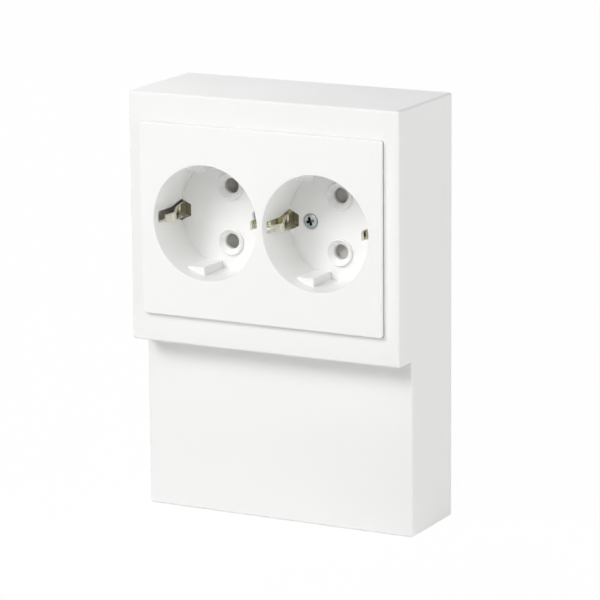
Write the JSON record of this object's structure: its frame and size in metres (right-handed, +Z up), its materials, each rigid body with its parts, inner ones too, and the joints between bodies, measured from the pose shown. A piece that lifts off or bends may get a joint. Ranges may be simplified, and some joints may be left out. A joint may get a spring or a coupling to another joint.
{
  "type": "wall socket",
  "caption": "Earthed wall socket in a stepped surface housing, with round plug wells side by side in a raised cover plate, sprung earth clips, shutters behind the pin holes and push-in terminals.",
  "frame": {"origin": "on the wall plane, behind the point midway between the two plug wells", "axes": "+X to the right as seen from the room, +Y into the wall, +Z up"},
  "size_m": [0.1, 0.042, 0.145],
  "materials": {
    "housing_plastic": "satin",
    "plate_plastic": "satin gloss",
    "cover_screw_steel": "bright zinc plated",
    "shutter_plastic": "satin",
    "nickel_strip": "bright nickel plated",
    "earth_brass": "satin",
    "rivet_brass": "satin",
    "contact_brass": "tin plated, satin",
    "carrier_plastic": "matte",
    "insulator_plastic": "matte",
    "zinc_screw": "zinc plated",
    "zinc_sheet": "zinc plated sheet",
    "spring_steel": "bright",
    "button_plastic": "satin",
    "base_plastic": "matte"
  },
  "bodies": {
    "socket": {"housing": "housing_plastic", "cover_plate": "plate_plastic", "cover_screws": "cover_screw_steel", "left_earth_yoke": "nickel_strip", "right_earth_yoke": "nickel_strip", "earth_bar": "earth_brass", "earth_rivets": "rivet_brass", "live_bar": "contact_brass", "neutral_bar": "contact_brass", "contact_carrier": "carrier_plastic", "rear_insulator": "insulator_plastic", "insulator_screws": "zinc_screw", "support_plate": "zinc_sheet", "carrier_screws": "zinc_screw", "device_screws": "zinc_screw", "live_clamp_spring": "spring_steel", "neutral_clamp_spring": "spring_steel", "earth_clamp_spring": "spring_steel", "mounting_base": "base_plastic"},
    "left_slider": {"left_shutter": "shutter_plastic"},
    "right_slider": {"right_shutter": "shutter_plastic"},
    "live_button": {"live_release_button": "button_plastic"},
    "neutral_button": {"neutral_release_button": "button_plastic"},
    "earth_button": {"earth_release_button": "button_plastic"}
  },
  "joints": [
    {"name": "left_shutter_slide", "type": "slide", "parent": "socket", "child": "left_slider", "axis": [-1, 0, 0], "range_m": [0, 0.0058], "stiffness_N_per_m": 100},
    {"name": "right_shutter_slide", "type": "slide", "parent": "socket", "child": "right_slider", "axis": [1, 0, 0], "range_m": [0, 0.0058], "stiffness_N_per_m": 100},
    {"name": "live_release", "type": "slide", "parent": "socket", "child": "live_button", "axis": [0, 0, 1], "range_m": [0, 0.0016], "stiffness_N_per_m": 1500, "deforming": ["live_clamp_spring"]},
    {"name": "neutral_release", "type": "slide", "parent": "socket", "child": "neutral_button", "axis": [0, 0, 1], "range_m": [0, 0.0016], "stiffness_N_per_m": 1500, "deforming": ["neutral_clamp_spring"]},
    {"name": "earth_release", "type": "slide", "parent": "socket", "child": "earth_button", "axis": [0, 0, 1], "range_m": [0, 0.0016], "stiffness_N_per_m": 1500, "deforming": ["earth_clamp_spring"]}
  ]
}
